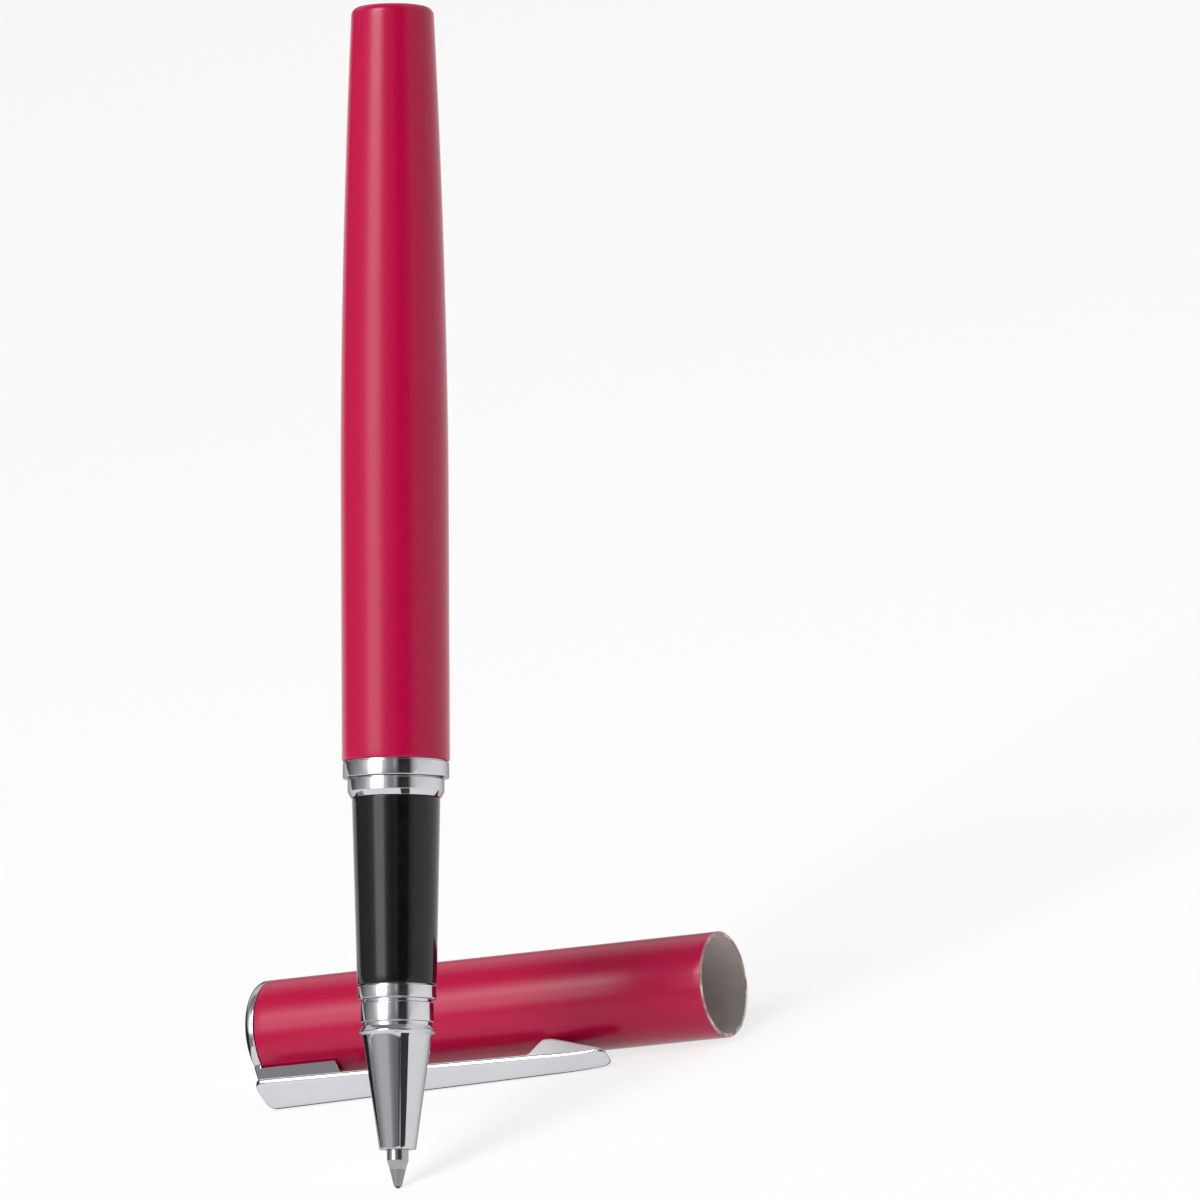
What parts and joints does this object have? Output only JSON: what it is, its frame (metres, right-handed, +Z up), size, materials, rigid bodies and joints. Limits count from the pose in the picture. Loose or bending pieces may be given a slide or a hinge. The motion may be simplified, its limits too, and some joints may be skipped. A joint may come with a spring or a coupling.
{
  "type": "rollerball pen",
  "caption": "Metal capped rollerball pen standing on its tip over its cap: unscrewing barrel, refill with spring and ball, cap with sprung clip.",
  "frame": {"origin": "on the floor, under the middle of the box that the standing pen and the lying cap take up", "axes": "+Z is up from the floor, +X runs along the lying cap from its closed end to its mouth, +Y points back from the pen's tip towards the cap"},
  "size_m": [0.0566, 0.0536, 0.1185],
  "materials": {
    "crimson_lacquer": "satin",
    "chrome_trim": "polished",
    "chrome_clip": "polished",
    "black_lacquer": "gloss",
    "tip_steel": "turned",
    "ball_steel": "polished",
    "refill_steel": "satin",
    "thread_brass": "machined",
    "black_plastic": "matte",
    "liner_plastic": "matte",
    "ink_fibre": "fibrous"
  },
  "bodies": {
    "section": {"grip_section": "black_lacquer", "nose_cone": "chrome_trim", "section_collar": "chrome_trim", "section_sleeve": "thread_brass"},
    "refill": {"refill_tip": "tip_steel", "refill_holder": "black_plastic", "refill_tube": "refill_steel", "refill_plug": "black_plastic", "ink_reservoir": "ink_fibre", "ink_feed": "ink_fibre"},
    "ball": {"writing_ball": "ball_steel"},
    "spring": {"refill_spring": "refill_steel"},
    "end_seat": {"spring_seat": "black_plastic"},
    "barrel": {"barrel_tube": "crimson_lacquer", "barrel_ring": "chrome_trim", "barrel_bush": "thread_brass"},
    "cap": {"cap_tube": "crimson_lacquer", "cap_liner": "liner_plastic", "cap_crown": "chrome_trim", "crown_screw": "refill_steel"},
    "clip_leaf": {"clip": "chrome_clip"}
  },
  "joints": [
    {"name": "refill_give", "type": "slide", "parent": "section", "child": "refill", "axis": [0.0767, 0.3875, 0.9187], "range_m": [0, 0.001], "stiffness_N_per_m": 300, "springref_m": -0.005, "deforming": ["refill_spring"]},
    {"name": "ball_roll", "type": "hinge", "parent": "refill", "child": "ball", "pos_m": [0.00601, -0.02631, 0.00035], "axis": [0.9969, -0.0155, -0.0767], "continuous": true},
    {"name": "barrel_lift", "type": "slide", "parent": "section", "child": "spring", "axis": [0.0767, 0.3875, 0.9187], "range_m": [0, 0.075]},
    {"name": "barrel_advance", "type": "slide", "parent": "spring", "child": "end_seat", "axis": [0.0767, 0.3875, 0.9187], "range_m": [0, 0.0061]},
    {"name": "barrel_unscrew", "type": "hinge", "parent": "end_seat", "child": "barrel", "pos_m": [0.00936, -0.00941, 0.04042], "axis": [0.0767, 0.3875, 0.9187], "range_deg": [0, 2160]},
    {"name": "cap_slide", "type": "slide", "parent": "section", "child": "cap", "axis": [-1, 0, 0], "range_m": [0, 0.08]},
    {"name": "clip_flex", "type": "hinge", "parent": "cap", "child": "clip_leaf", "pos_m": [-0.0267, 0.00911, 0.00239], "axis": [-0.0194, 0.5575, -0.8299], "range_deg": [0, 3.5], "stiffness_Nm_per_rad": 6, "springref_deg": -1.15}
  ],
  "couplings": [
    {"joint": "barrel_advance", "follows": "barrel_unscrew", "m_per_rad": 0.00015915}
  ]
}
